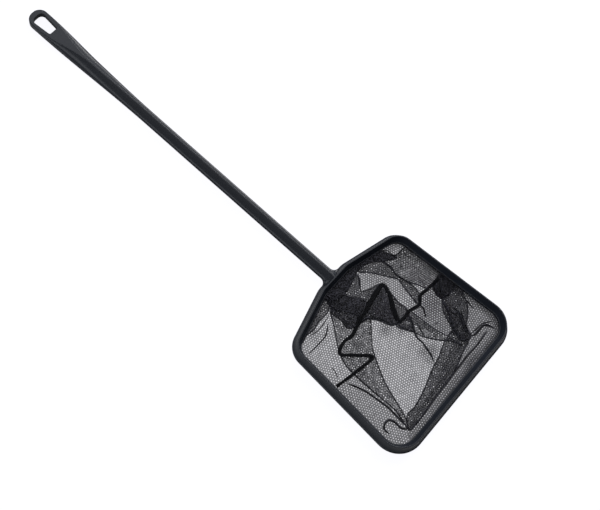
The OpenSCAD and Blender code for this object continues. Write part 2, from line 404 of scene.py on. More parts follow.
def moulded_plastic(name, dark, light, rough_low, rough_high, grain_size, bump):
    """Satin black plastic as it comes from the mould, smoother where it is rubbed."""
    material, shader, finish = material_with(name, grain_group)
    tree = material.node_tree
    finish.inputs["Grain Size"].default_value = grain_size
    tree.links.new(blend(tree, finish.outputs["Clouds"], dark, light), shader.inputs["Base Color"])
    rough = stretched(tree, finish.outputs["Rubbed"], 0.0, 1.0, rough_high, rough_low)
    tree.links.new(rough, shader.inputs["Roughness"])
    shader.inputs["Specular IOR Level"].default_value = plastic_shine
    add_bump(tree, finish.outputs["Grain"], bump, grain_depth)
    return material


hoop_plastic = moulded_plastic(
    "hoop_plastic",
    dark=(0.005, 0.0062, 0.0092),
    light=(0.0079, 0.0096, 0.0138),
    rough_low=0.28,
    rough_high=0.38,
    grain_size=0.22,
    bump=0.3,
)
hoop_mesh.materials.clear()
hoop_mesh.materials.append(hoop_plastic)

# Clamping ring: a flat moulded ring, flush with the underside of the rim, that holds the
# cut edge of the net up under the ledge. It is pressed in, and shows only from below.
ring_edge, ring_fit = 0.2, 0.04
groove_w, groove_h = 0.8, 0.25
ring_mid = ring_u + ring_w / 2
ring_corners = [
    (ring_u + ring_fit, 0),
    (ring_u + ring_fit, ring_h),
    (band_w, ring_h),
    (band_w, 0),
    (ring_mid + groove_w / 2, 0),
    (ring_mid + groove_w / 4, groove_h),
    (ring_mid - groove_w / 4, groove_h),
    (ring_mid - groove_w / 2, 0),
]
ring_ease = [ring_edge, 0, ring_edge, ring_edge, ring_edge / 2, 0, 0, ring_edge / 2]
ring_mesh = swept_band("clamp_ring", eased(ring_corners, ring_ease), hoop_places)
face_outwards(ring_mesh)
ring = piece("net_clamp_ring", ring_mesh)
ring_mesh.shade_smooth()
ring_mesh.set_sharp_from_angle(angle=sharp_angle)
ring_plastic = moulded_plastic(
    "ring_plastic",
    dark=(0.005, 0.0052, 0.006),
    light=(0.008, 0.0085, 0.0095),
    rough_low=0.42,
    rough_high=0.55,
    grain_size=0.3,
    bump=0.4,
)
ring_mesh.materials.append(ring_plastic)
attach(ring, "root")
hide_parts("clamp_ring")

# Net bag: black knitted mesh with six-sided holes, in two panels joined by the seam. Its
# edge is clamped under the ledge, and the slack bag lies collapsed inside the hoop, so
# that it shows single cloth in windows and doubled cloth in folds between them.
hole_pitch, strand_w, strand_t = 1.75, 1.07, 0.2
grip_u = ring_u + 0.5
rest_z = (ring_h + clamp_top) / 2
cloth_gap, edge_puff = 0.38, 2.4

# Places are in millimetres in the part's frame: x away from the handle, y across. Left,
# right and upper are as the camera sees the net.
seam_path = [(129.8, -58.5), (130.2, -52), (133.8, -35), (135.1, -22.4), (126.5, -29.2)]
seam_path += [(117.9, -35.8), (114.5, -28), (115.7, -20.6), (112, -7), (109.5, 9), (108.5, 20.2)]
seam_path += [(115.5, 18.3), (124.5, 12), (132.6, 8.4), (133.8, 14.2), (133.4, 19), (135.6, 27)]
seam_path += [(132.2, 32), (133.1, 39.6), (133.4, 48), (133.9, 60)]
left_line = [(134.3, -31), (149.4, -35.5), (165.4, -39.5), (182.4, -43.2)]
right_line = [(182.4, -43.2), (180.4, -30), (177.9, -8), (172.4, 10), (167.4, 26), (169.4, 30)]
band_line = [(132.8, 11), (145.4, 15), (159.4, 20), (169.4, 30)]
bundle_line = [(169.4, 30), (159.4, 38), (149.4, 46), (145.4, 66)]
out = 70  # across, well outside the hoop


def distances(points):
    """How far along a line each of its points is."""
    return np.r_[0, np.cumsum(np.linalg.norm(np.diff(points, axis=0), axis=1))]


def sampled(at, far, values):
    """Values known at some distances along a line, read off at others."""
    return np.c_[[np.interp(at, far, value) for value in values.T]].T


curve_steps = 12


def smooth_line(points, step, closed=False):
    """An even run of points along a smooth curve through the given ones."""
    p = np.array(points, float)
    n = len(p)
    runs = []
    for i in range(n if closed else n - 1):
        if closed:
            q = [p[(i + k) % n] for k in (-1, 0, 1, 2)]
        else:
            q = [p[max(i - 1, 0)], p[i], p[i + 1], p[min(i + 2, n - 1)]]
        t = np.linspace(0, 1, curve_steps + 1)[:-1, None]
        runs.append(
            0.5
            * (
                2 * q[1]
                + (q[2] - q[0]) * t
                + (2 * q[0] - 5 * q[1] + 4 * q[2] - q[3]) * t**2
                + (3 * q[1] - q[0] - 3 * q[2] + q[3]) * t**3
            )
        )
    curve = np.vstack(runs + [p[:1] if closed else p[-1:]])
    far = distances(curve)
    return sampled(np.linspace(0, far[-1], max(3, int(far[-1] / step) + 1)), far, curve)


def course(path, step, closed=False):
    """A smooth line along a path, the way across it and the distance along it."""
    line = smooth_line(path, step, closed)
    run = np.gradient(line, axis=0)
    run /= np.linalg.norm(run, axis=1)[:, None]
    return line, np.c_[-run[:, 1], run[:, 0]], distances(line)


def inside(points, polygon):
    """Which of the points are inside a polygon."""
    x, y = points[:, 0], points[:, 1]
    result = np.zeros(len(points), bool)
    for a, b in zip(polygon, np.roll(polygon, -1, axis=0)):
        crosses = (a[1] > y) != (b[1] > y)
        rise = b[1] - a[1] if b[1] != a[1] else 1e-9
        result ^= crosses & (x < (b[0] - a[0]) * (y - a[1]) / rise + a[0])
    return result


def nearest(points, polygon):
    """The nearest places on a closed polygon, and the distances to them."""
    best = np.full(len(points), 1e9)
    place = points.copy()
    for a, b in zip(polygon, np.roll(polygon, -1, axis=0)):
        run = b - a
        t = np.clip(((points - a) @ run) / max(run @ run, 1e-9), 0, 1)
        at = a + t[:, None] * run
        d = np.linalg.norm(points - at, axis=1)
        closer = d < best
        best[closer], place[closer] = d[closer], at[closer]
    return place, best


def depth_in(points, polygon):
    """How far each point is inside a polygon; less than nothing outside."""
    return nearest(points, polygon)[1] * np.where(inside(points, polygon), 1, -1)


wave_count = 5


def waves(points, seed, length, high):
    """A gentle uneven swell, the same for the same seed."""
    r = np.random.default_rng(seed)
    total = np.zeros(len(points))
    for _ in range(wave_count):
        a, phase = r.uniform(0, 2 * math.pi, 2)
        reach = length * r.uniform(0.6, 1.5)
        run = points @ np.array([math.cos(a), math.sin(a)])
        total += np.sin(2 * math.pi * run / reach + phase)
    return total * high / math.sqrt(wave_count)


grip_outline = outline(hoop_places, grip_u)
mouth_outline = outline(hoop_places, band_w)
slack_start, slack_run, sag = 0.3, 7, 0.1875
lowest_z = strand_t / 2 + 0.05
# Each swell of the slack cloth: seed, length and height
swells = [(3, 34, 0.5), (4, 15, 0.16)]


def base_height(points):
    """The single layer: level in the clamp, slack and uneven inside it."""
    free = smooth((depth_in(points, mouth_outline) - slack_start) / slack_run)
    swell = sum(waves(points, *each) for each in swells)
    return np.maximum(rest_z + free * (swell - sag), lowest_z)


# Folds of doubled cloth, from the lowest to the topmost: outline, direction of the mesh,
# how far they stand up, how many layers they add, how far their holes close (less than
# nothing where the cloth is drawn tight and they open), and panel
folds = {
    "upper_band": (
        [(84, 20), (90.9, 16.1), (94.5, 18.8), (99.2, 22.1), (104.6, 25.4), (111, 29.3)]
        + [(114.5, 30.6), (121.1, 28.6), (130.8, 26.7), (134, 26.3), (134.4, 29), (131.9, 32.1)]
        + [(125.1, 33.9), (118.5, 33.6), (110.5, 32.6), (104.7, 33.9), (96.6, 33), (88, 31)],
        38, 0.4, 1, 0.1, "handle",
    ),
    "upper_sheet": (
        [(97, 36.5), (97.2, 32.4), (104.7, 33.2), (110.5, 32), (118.5, 33.2), (126, 36.5)]
        + [(132.3, 39.1), (133.7, 43.3), (133.6, 56), (115, 62), (104, 54), (102.6, 49.6)]
        + [(102.2, 44.9), (101.1, 41.4)],
        5, 0.4, 1, -0.14, "handle",
    ),
    "bottom": (
        [(93, -16), (97.4, -18.4), (103.1, -18), (110.2, -19.2), (113.2, -15.7), (115, -9)]
        + [(117, -3.7), (122.1, 0.5), (131.2, 4), (134, 8.5), (133.2, 13), (131.4, 18.5)]
        + [(124.1, 18.2), (116.3, 19.6), (108.6, 21), (106.1, 18), (104.2, 12.9), (100.8, 7.1)]
        + [(97.3, 9.7), (92.8, 13.5), (88, 10), (86, -5)],
        12, 0.5, 1, 0.2, "handle",
    ),
    "peak": (
        [(107.9, 20), (107.1, 12), (108.7, 4), (101.2, 0.2), (94.6, -3.1), (88, -6), (88, -14)]
        + [(95.3, -16), (103, -16.4), (110.2, -17.6), (112.6, -14), (115.4, -6), (122, -0.8)]
        + [(131.4, 3), (131.6, 8.7), (123.2, 14.2), (115, 19)],
        33, 0.5, 1, 0.32, "handle",
    ),
    "neck_low": (
        [(84, -6), (88.1, -13.6), (95.3, -15), (99.2, -13.2), (105.7, -9.2), (111, -7.2)]
        + [(109.4, -1), (106.7, 3.3), (101.2, 0.6), (94.6, -2.7), (88, 2)],
        67, 0.5, 1, 0.1, "handle",
    ),
    "neck": (
        [(76, 0), (80, -16), (88.6, -14.4), (92.6, -8), (93.8, -2.1), (92.8, 4.6), (90.6, 12.9)]
        + [(89.7, 17.2), (91.5, 24.8), (97, 31.8), (101.6, 37.4), (103.3, 42.8), (96, 39.4)]
        + [(90.5, 37.4), (84, 36), (78, 20)],
        24, 0.6, 3, 0.3, "handle",
    ),
    "shoulder": (
        [(84, -14), (88.5, -11.7), (93.3, -18.4), (93.9, -23.7), (93.6, -29.6), (94.6, -35.3)]
        + [(93.1, -42.9), (90.5, -50), (84, -44), (80, -28)],
        74, 0.5, 1, 0.2, "handle",
    ),
    "left": (
        [(94.3, -17.7), (101.8, -23.5), (110.7, -30.7), (117.4, -35.6), (125.7, -39)]
        + [(135.4, -39.8), (150.9, -39.5), (169.3, -39.6), (182.5, -43), (174.6, -37.4)]
        + [(169.2, -35.8), (158.3, -32.2), (148.2, -27.9), (138, -22), (130.9, -17.5)]
        + [(125.3, -11.5), (116.6, -3.5), (113.6, -10), (111.2, -17.6), (103.1, -16.8)]
        + [(97.4, -16.6)],
        49, 0.5, 1, -0.12, "far",
    ),
    "right": (
        [(164, 28.6), (164, 22), (164.4, 17.6), (166.1, 12.2), (167.9, 6.9), (169.5, -0.9)]
        + [(174.3, -16.2), (176.7, -28.9), (176.3, -36.4), (183, -43.4), (184.6, -37), (183.9, -24)]
        + [(183, -10), (182.2, 0), (181.2, 9.7), (178.7, 18.7), (177.2, 24.5), (175.1, 31)],
        21, 0.5, 1, 0.22, "far",
    ),
    "band": (
        [(133.4, 18.4), (140.4, 19.9), (148.4, 20.7), (155.3, 21.3), (161.4, 22.8), (167, 23.6)]
        + [(175, 25), (167, 21.6), (160.9, 17.2), (155.1, 13.7), (150, 10.9), (144.3, 9.5)]
        + [(139.6, 7.1), (135.3, 6.1), (133.2, 8), (134.2, 12.4)],
        71, 0.4, 1, -0.12, "far",
    ),
    "band_end": (
        [(131.6, 8.4), (133.4, 12), (135, 16.2), (139.4, 14.4), (143, 11.8), (144.7, 9.6)]
        + [(139.8, 6.8), (133.4, 4.4)],
        28, 0.4, 1, 0.3, "far",
    ),
    "bundle": (
        [(133.8, 44.7), (139.8, 40.3), (144.8, 40.2), (149.4, 35.4), (154.8, 32.5), (159, 31)]
        + [(164.4, 28.1), (171.5, 26.6), (175.4, 30), (175.1, 34.3), (172.5, 35.4), (168.1, 38)]
        + [(165.5, 42.7), (162.2, 47.5), (159.8, 49.8), (156, 52.3), (150.8, 55), (144.9, 57)]
        + [(133.4, 58)],
        55, 0.5, 1, 0.2, "far",
    ),
    "bundle_top": (
        [(133.6, 44), (139.5, 40.6), (144.5, 40.6), (145.4, 42.9), (146.5, 47.9), (144.9, 57)]
        + [(133.4, 58)],
        8, 0.5, 2, 0.05, "far",
    ),
    "bundle_core": (
        [(145.8, 39.8), (151.2, 37.3), (159.1, 32.4), (166.4, 28.6), (172.2, 27.5), (174.6, 34)]
        + [(169.5, 34.8), (163.9, 38.7), (158.5, 41.4), (156, 38.6), (152, 39)],
        31, 0.3, 1, 0, "far",
    ),
}
outline_step, wall_gap, cover_run = 1.2, 0.25, 1.6


def clear_of_wall(polygon):
    """An outline drawn in to the hoop's mouth where it would run under the ledge."""
    limit = outline(hoop_places, band_w + wall_gap)
    past = ~inside(polygon, limit)
    polygon[past] = nearest(polygon[past], limit)[0]
    return polygon


fold_outlines = {
    name: clear_of_wall(smooth_line(path, outline_step, closed=True)[:-1])
    for name, (path, *_) in folds.items()
}


def fold_rise(name, points):
    """How much a fold adds to the height of the cloth."""
    _, _, stand, layers, _, _ = folds[name]
    d = depth_in(points, fold_outlines[name])
    puff = 1 - np.exp(-np.clip(d, 0, None) / edge_puff)
    return smooth((d + cover_run / 2) / cover_run) * (layers * cloth_gap + stand * puff)


def cloth_top(points, below=None):
    """Height of the cloth, under the named fold or, with no name, on top of them all."""
    z = base_height(points)
    for name in folds:
        if name == below:
            break
        z += fold_rise(name, points)
    return z


net_parts = {"handle": [], "far": []}


def strand_faces(cells):
    """Faces that join the corners of neighbouring holes: strands, and knots between them."""
    index = {cell: k for k, cell in enumerate(cells)}
    # A hole's six corners are numbered round it, and three of its six neighbours lie these ways
    ways = [(1, 0), (0, 1), (-1, 1)]
    faces = []
    for (a, b), k in index.items():
        near = [index.get((a + u, b + v)) for u, v in ways]
        for w, other in enumerate(near):
            if other is not None:
                before = (w - 1) % 6
                faces.append((6 * k + before, 6 * other + w + 3, 6 * other + w + 2, 6 * k + w))
        for w in (0, 1):
            if near[w] is not None and near[w + 1] is not None:
                faces.append((6 * k + w, 6 * near[w] + w + 2, 6 * near[w + 1] + w + 4))
    return faces


# Holes are knitted up to hole_reach, in pitches, past an area's edge and then drawn in to
# it. No hole opens to less or more than these shares of what its place asks for.
hole_reach = 0.7
least_open, most_open = 0.4, 1.3
# How the rows of holes wander in the slack cloth, along and across: seed, length and height
wander = [(11, 21, 0.28), (12, 24, 0.28)]


def knit(areas, angle, start, height, tighten, pitch=hole_pitch, uneven=0.02):
    """A layer of mesh with six-sided holes, cut to the areas: points, faces, how closed its holes
    are.

    The rows run at the angle from the start. height gives each point's height, tighten how
    far each hole stays open, and uneven how much the holes differ.
    """
    low, high = areas[0].min(0), areas[0].max(0)
    for area in areas[1:]:
        low, high = np.maximum(low, area.min(0)), np.minimum(high, area.max(0))
    middle, reach = (low + high) / 2, np.linalg.norm(high - low) / 2 + 2 * pitch
    turn = np.array([along(angle), along(angle + 90)])
    row = pitch * math.sqrt(3) / 2
    rows = int(reach / row) + 2
    cells = [
        (i, j)
        for j in range(-rows, rows + 1)
        for i in range(-rows - j // 2, rows - j // 2 + 1)
    ]
    i, j = np.array(cells).T
    centres = np.c_[pitch * (i + j / 2) + start[0], row * j + start[1]] @ turn + middle
    keep = np.ones(len(centres), bool)
    for area in areas:
        keep &= depth_in(centres, area) > -hole_reach * pitch
    i, j, centres = i[keep], j[keep], centres[keep]
    open_share = tighten(centres)
    stray = np.random.default_rng(len(centres)).normal(0, uneven, (len(centres), 3))
    centres = centres + stray[:, :2] * pitch
    open_share = open_share * np.clip(1 + 2 * stray[:, 2], least_open, most_open)
    hole = open_share * (pitch - strand_w * pitch / hole_pitch) / math.sqrt(3)
    # Six corners round each centre, each towards the middle of three holes
    spokes = np.array([along(30 + 60 * k) for k in range(6)]) @ turn
    points = (centres[:, None, :] + hole[:, None, None] * spokes[None]).reshape(-1, 2)
    points = points + np.c_[waves(points, *wander[0]), waves(points, *wander[1])]
    beyond = np.zeros(len(points), bool)
    for area in areas:
        past = ~inside(points, area)
        points[past] = nearest(points[past], area)[0]
        beyond |= past
    faces = strand_faces(zip(i.tolist(), j.tolist()))
    faces = [f for f in faces if not all(beyond[p] for p in f)]
    return np.c_[points, height(points)], faces, np.repeat(1 - open_share, 6)


def add_layer(panel, areas, angle, start, height, **more):
    """Puts one more layer of mesh into a panel."""
    net_parts[panel].append(knit(areas, angle, start, height, **more))


def area_of(*runs):
    """The area inside runs of points laid end to end."""
    return np.array([p for run in runs for p in run], float)


# Places in the single cloth where the holes close a little, as painted shade for soft shaded
# patches, and two where they open wider and the cloth looks lighter: place, reach and how far
# the holes close
shade_and_light_patches = [
    ((129.4, -1.9), 4, 0.3),
    ((137.7, 4.4), 3, 0.22),
    ((156.9, 3.8), 3.5, 0.22),
    ((164.9, 2.9), 3, 0.22),
    ((95.4, -25), 3, -0.25),
    ((96.2, -31), 3, -0.25),
    ((96, -34), 6, 0.12),
    ((188, 20), 7, 0.1),
    ((143, 33), 6, 0.1),
    ((104, 20), 7, 0.08),
    ((161.5, 9), 4.5, 0.3),
    ((98, 46), 8, 0.06),
    ((123.1, -23.3), 3.5, 0.3),
]

# The holes close near the rim too, most of all on the bundle's side of the hoop: partly for dense
# folds by the rim, and partly as painted shade cast by the rim's wall
rim_reach = 5
rim_shade_closed, bundle_side_shade_closed, most_closed = 0.06, 0.3, 0.6
bundle_way, bundle_start, bundle_run = (0.35, 0.94), 40, 50


def zone_opening(share):
    """How far holes stay open: closed by a zone's share, in the painted shade patches and by the
    rim.
    """

    def open_share(centres):
        closed = np.full(len(centres), float(share))
        # Painted shade: the holes close in the shaded patches, and open wider where the cloth looks
        # lighter
        for at, reach, gathered_and_shaded in shade_and_light_patches:
            closed += gathered_and_shaded * np.exp(-(((centres - np.array(at)) / reach) ** 2).sum(1))
        # Partly painted shade: the holes close towards the rim, where its wall shades the net
        rim = np.clip(1 - depth_in(centres, mouth_outline) / rim_reach, 0, 1)
        by_bundle = np.clip((centres @ np.array(bundle_way) - bundle_start) / bundle_run, 0, 1)
        closed += (rim_shade_closed + bundle_side_shade_closed * by_bundle) * rim
        return 1 - np.clip(closed, 0, most_closed)

    return open_share


def even_opening(share):
    """The same opening for every hole."""
    return lambda centres: np.full(len(centres), share)


near_seam, far_seam = seam_path[:10], seam_path[9:]
# Zones of single cloth: panel, area, direction of the mesh and how far its holes close
zones = [
    ("handle", area_of(near_seam, [(70, 6), (60, -out), (130, -out)]), 86, 0.06),
    ("handle", area_of(far_seam, [(134, out), (60, out), (70, 6)]), 7, 0.17),
    (
        "far",
        area_of(seam_path[2:14], band_line[1:], right_line[::-1][1:], left_line[::-1]),
        0, 0.04,
    ),
    ("far", area_of(seam_path[:3], left_line, [(200, -56), (200, -out), (130, -out)]), 86, 0.19),
    ("far", area_of(right_line, bundle_line[1:], [(210, 66), (210, -60), (200, -56)]), 92, 0.32),
    (
        "far",
        area_of(seam_path[13:], [(140, out), (146, 66)], bundle_line[::-1][1:], band_line[::-1]),
        66, 0.34,
    ),
]
# Each layer's rows start a little further on, so that none lie in line with the next
zone_shift, fold_shift = (0.31, 0.17), (0.4, 0.2)
for k, (panel, area, direction, share) in enumerate(zones):
    start = (zone_shift[0] * k, zone_shift[1] * k)
    opening = zone_opening(share)
    add_layer(panel, [area, grip_outline], direction, start, base_height, tighten=opening)

# The topmost layer of a fold ripples a little, clear of its edge
ripple_l, ripple_h, ripple_start = 9, 0.1, 3


def fold_layer_height(name, level):
    """Height of one of a fold's layers; the topmost is puffed up."""
    _, _, stand, layers, _, _ = folds[name]

    def height(points):
        z = cloth_top(points, below=name) + level * cloth_gap
        if level == layers:
            d = np.clip(depth_in(points, fold_outlines[name]), 0, None)
            z += stand * (1 - np.exp(-d / edge_puff))
            z += waves(points, len(name), ripple_l, ripple_h) * np.clip(d / ripple_start, 0, 1)
        return z

    return height


fold_uneven = 0.09
# The layers under a fold's topmost one lie the other way up, so their rows are mirrored
for k, (name, (_, direction, _, layers, closed, panel)) in enumerate(folds.items()):
    for level in range(1, layers + 1):
        add_layer(
            panel,
            [fold_outlines[name]],
            direction if level == layers else 60 - direction,
            (fold_shift[0] * k, fold_shift[1] * level),
            fold_layer_height(name, level),
            tighten=even_opening(1 - closed),
            uneven=fold_uneven,
        )


turned_pitch, turned_open, edge_step = 1.5, 0.3, 0.5
crease_taper, crease_end = 5.0, 0.12


def knit_along(path, profile, foot, closed=False):
    """Mesh wrapped over a profile of (offset, rise) points, carried along a path."""
    line, side, far = course(path, edge_step, closed)
    profile = np.array(profile, float)
    over = distances(profile)
    strip = np.array([(0, 0), (far[-1], 0), (far[-1], over[-1]), (0, over[-1])])
    flat, faces, gathered_and_shaded = knit(
        [strip],
        0,
        (0, 0),
        lambda p: np.zeros(len(p)),
        tighten=even_opening(turned_open),
        pitch=turned_pitch,
    )
    run, wrap, _ = flat.T
    ends = np.ones(len(run))
    if not closed:
        ends = np.clip(np.minimum(run, far[-1] - run) / crease_taper, crease_end, 1)
    offset = np.interp(wrap, over, profile[:, 0]) * np.sqrt(ends)
    rise = np.interp(wrap, over, profile[:, 1]) * ends
    at = sampled(run, far, line)
    plan = at + sampled(run, far, side) * offset[:, None]
    return np.c_[plan, foot(at) + rise], faces, gathered_and_shaded


# Each fold's edge, where the cloth turns back on itself, as (inset, rise) points
turned_edge = [(0.5, 0.42), (0, 0.44), (-0.32, 0.3), (-0.42, 0), (-0.3, -0.3), (0, -0.4)]
turned_up = 1.5 * cloth_gap
for name, (*_, panel) in folds.items():
    edge = fold_outlines[name]
    x, y = edge.T
    way_round = np.sign(np.sum(x * np.roll(y, -1) - y * np.roll(x, -1)))
    profile = [(inset * way_round, up + turned_up) for inset, up in turned_edge]
    net_parts[panel].append(
        knit_along(edge, profile, lambda p, n=name: cloth_top(p, below=n), closed=True)
    )

# Creases: narrow standing pleats that run out at their ends. Path, width, height and panel
creases = [
    ([(98.5, -25.1), (102.8, -32.4), (103, -42), (102.6, -49.3)], 0.8, 1.2, "handle"),
    ([(95.2, -20), (96.6, -27), (96.8, -34), (95.4, -40)], 0.5, 0.8, "handle"),
    ([(119.6, -46), (123.8, -46.9), (127.2, -48.6)], 0.6, 0.8, "handle"),
    (
        [(133.9, -47.2), (146.1, -42.8), (161.2, -41), (170.2, -41.4), (180.5, -42.4)],
        1.1, 1.6, "far",
    ),
    (
        [(175.3, -53.6), (171, -53.4), (169, -50.5), (169.3, -47), (173.3, -45.3), (178.7, -45.5)]
        + [(183, -42.5)],
        1.3, 1.8, "far",
    ),
    (
        [(174.6, 34.1), (176.4, 36.5), (176.7, 41.7), (177, 46), (179.5, 48.3), (183.9, 49.8)],
        1.4, 2.0, "far",
    ),
    ([(174.2, 35), (175, 40.4), (175.8, 46.8), (180.2, 53)], 0.7, 1.2, "far"),
    (
        [(181.2, 44.6), (181.7, 39.2), (182.1, 32.3), (181.8, 24.9), (181.7, 19.6), (182.1, 12.9)]
        + [(182, 9.4), (182.7, -0.2), (183.2, -15.9), (184.2, -29.4), (183.8, -40.3)],
        1.1, 1.6, "far",
    ),
    (
        [(135, 16.5), (141.6, 12.2), (148.2, 8.6), (154, 8.2), (159.5, 6.7), (162.7, 5.8)]
        + [(167.5, 3.4)],
        1.1, 1.6, "far",
    ),
    ([(143.5, 15.4), (147, 14), (151.5, 12.8)], 1.2, 1.0, "far"),
    ([(154.3, 52.1), (158.2, 51.8), (163.2, 51), (166.4, 51.7)], 0.7, 1.0, "far"),
    ([(151.7, 23.3), (152.5, 25.4), (152.8, 27.7)], 0.5, 0.7, "far"),
    ([(145.8, 40), (153.5, 36.6), (159.1, 32.6), (166.4, 28.8), (172.2, 27.5)], 1.4, 1.9, "far"),
    (
        [(153.2, 41.6), (158.5, 41.2), (163.9, 38.3), (169.5, 34.6), (174.4, 34.6)],
        1.3, 1.9, "far",
    ),
    ([(158.7, 44.1), (161.5, 41.4), (168, 36.9), (173.5, 34.9)], 1.1, 1.7, "far"),
    (
        [(135, 52), (135.7, 49.8), (139, 46.1), (143.1, 43.3), (145.4, 45.3), (144.6, 49.5)],
        1.4, 1.9, "far",
    ),
    ([(133.9, 47.1), (137.7, 43.1), (142.6, 41.1), (144.3, 41.3)], 1.0, 1.4, "far"),
    ([(138.8, 51.5), (141.4, 49), (143.1, 46.4)], 0.8, 1.3, "far"),
    ([(102.6, 49.6), (102.3, 44.9), (101.1, 41.4), (97, 39.7)], 0.7, 1.2, "handle"),
    ([(102.6, 49.6), (105.4, 47.8), (108.4, 47.6), (110.6, 49)], 0.7, 1.2, "handle"),
    ([(92.5, 38.5), (95.5, 41), (99, 42)], 0.6, 1.0, "handle"),
    ([(91, 15), (94.9, 11.6), (98.4, 8.4), (102.5, 4.6)], 0.6, 1.0, "handle"),
    (
        [(96.6, 32.7), (104.7, 33.5), (110.5, 32.3), (118.5, 33.4), (125.1, 33.8)],
        0.8, 1.2, "handle",
    ),
]
# A pleat's profile, as shares of its width and height: it leans over a little
pleat = [(-0.5, 0), (-0.3, 0.75), (0.1, 1), (0.4, 0.7), (0.5, 0)]
for path, width, high, panel in creases:
    profile = [(width * across, high * up) for across, up in pleat]
    net_parts[panel].append(knit_along(path, profile, cloth_top))


def net_panel(name, parts):
    """A panel of the bag: the mesh of all its layers, with how closed the holes are at each point.
    """
    points, faces, first = [], [], 0
    for layer, layer_faces, _ in parts:
        points.append(layer)
        faces += [tuple(first + p for p in f) for f in layer_faces]
        first += len(layer)
    mesh = mesh_of(name, np.vstack(points), faces)
    gathered_and_shaded = mesh.attributes.new("gathered_and_shaded", "FLOAT", "POINT")
    gathered_and_shaded.data.foreach_set("value", np.concatenate([g for _, _, g in parts]))
    panel = piece(name, mesh)
    thick = panel.modifiers.new("strand_thickness", "SOLIDIFY")
    thick.thickness, thick.offset = strand_t * MM, 0
    return panel


handle_panel = net_panel("net_bag_handle_side", net_parts["handle"])
far_panel = net_panel("net_bag_far_side", net_parts["far"])

# Fibres in the yarn of the net and of the seam: their fine relief, how the dye fades from
# place to place, and how much light they hold back, more where the holes close, which adds to
# the painted shade in the shaded patches and by the rim
fibre_group, fibre_in, fibre_out = value_group(
    "yarn_fibres",
    [("Fibre Size", "NodeSocketFloat", 0.12), ("Gathered And Shaded", "NodeSocketFloat", 0.0)],
    [("Fibres", "NodeSocketFloat"), ("Fading", "NodeSocketFloat"), ("Cover", "NodeSocketFloat")],
)
fibre_place = place_in_mm(fibre_group)
fibre_scale = maths(fibre_group, "DIVIDE", 1.0, fibre_in.outputs["Fibre Size"])
fibre_noise = noise(fibre_group, fibre_place, fibre_scale, detail=2.0)
fade_scale, fade_from, fade_to = 1.0, 0.42, 0.66
fade_noise = noise(fibre_group, fibre_place, fade_scale, detail=1.0)
cover_from, cover_to, thinnest, densest, gathered_and_shaded_share = 0.35, 0.65, 0.33, 0.68, 0.5
cover = stretched(fibre_group, fibre_noise, cover_from, cover_to, thinnest, densest)
# Partly painted shade: the cover rises where the holes close, most in the shaded patches and by the
# rim
cover = maths(
    fibre_group,
    "MULTIPLY_ADD",
    fibre_in.outputs["Gathered And Shaded"],
    gathered_and_shaded_share,
    cover,
    use_clamp=True,
)
for output, value in (
    ("Fibres", fibre_noise),
    ("Fading", stretched(fibre_group, fade_noise, fade_from, fade_to)),
    ("Cover", cover),
):
    fibre_group.links.new(value, fibre_out.inputs[output])

yarn_shine, fibre_depth = 0.08, 0.05


def yarn(name, dark, light, roughness, fibre_size, bump, loose=False):
    """Dyed black synthetic yarn; if loose, some light passes between its filaments."""
    material, shader, fibres = material_with(name, fibre_group)
    tree = material.node_tree
    fibres.inputs["Fibre Size"].default_value = fibre_size
    tree.links.new(blend(tree, fibres.outputs["Fading"], dark, light), shader.inputs["Base Color"])
    shader.inputs["Roughness"].default_value = roughness
    shader.inputs["Specular IOR Level"].default_value = yarn_shine
    add_bump(tree, fibres.outputs["Fibres"], bump, fibre_depth)
    if loose:
        # The yarn is more opaque where the holes close, which is partly painted shade
        gathered_and_shaded = node(tree, "ShaderNodeAttribute", attribute_name="gathered_and_shaded")
        tree.links.new(gathered_and_shaded.outputs["Fac"], fibres.inputs["Gathered And Shaded"])
        tree.links.new(fibres.outputs["Cover"], shader.inputs["Alpha"])
    return material


net_yarn = yarn(
    "knitted_net",
    dark=(0.002, 0.002, 0.0028),
    light=(0.027, 0.027, 0.034),
    roughness=0.8,
    fibre_size=0.14,
    bump=0.4,
    loose=True,
)
for panel, node_name in (
    (handle_panel, "net_panel_handle_side"),
    (far_panel, "net_panel_far_side"),
):
    panel.data.materials.append(net_yarn)
    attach(panel, "root")
    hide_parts(node_name)

# Seam: black overlock thread that joins the two panels. Its loops wrap round the panels'
# edges, with two rows of stitches along them, and a short thread tail hangs from it.
seam_half, seam_wide, seam_up = 1.15, 2.0, 0.42
loop_pitch, loop_steps = 1.1, 12
thread_r, thread_sides = 0.17, 5


def tube(points, radius):
    """A round thread through points, closed at both ends."""
    p = np.array(points, float)
    run = np.gradient(p, axis=0)
    run /= np.linalg.norm(run, axis=1)[:, None]
    near_up = np.array([0.13, 0.21, 0.97])  # no thread runs quite this way
    a = np.cross(run, near_up)
    a /= np.linalg.norm(a, axis=1)[:, None]
    b = np.cross(run, a)
    turns = [2 * math.pi * k / thread_sides for k in range(thread_sides)]
    rings = [
        [p[i] + radius * (math.cos(t) * a[i] + math.sin(t) * b[i]) for t in turns]
        for i in range(len(p))
    ]
    return skin(rings)


seam_points, seam_faces = [], []


def add_thread(points, faces):
    """Puts one more thread into the seam."""
    first = len(seam_points)
    seam_points.extend(points)
    seam_faces.extend(tuple(first + k for k in f) for f in faces)


seam_step, core_step, stitch_step = 0.4, 0.5, 0.3
seam_lift, level_over = 0.15, 9
core_w, core_h, core_sides = 0.8, 0.75, 8
row_places, row_wave = (-0.35, 0.3), 0.12
width_swell = (21, 7, 0.09)


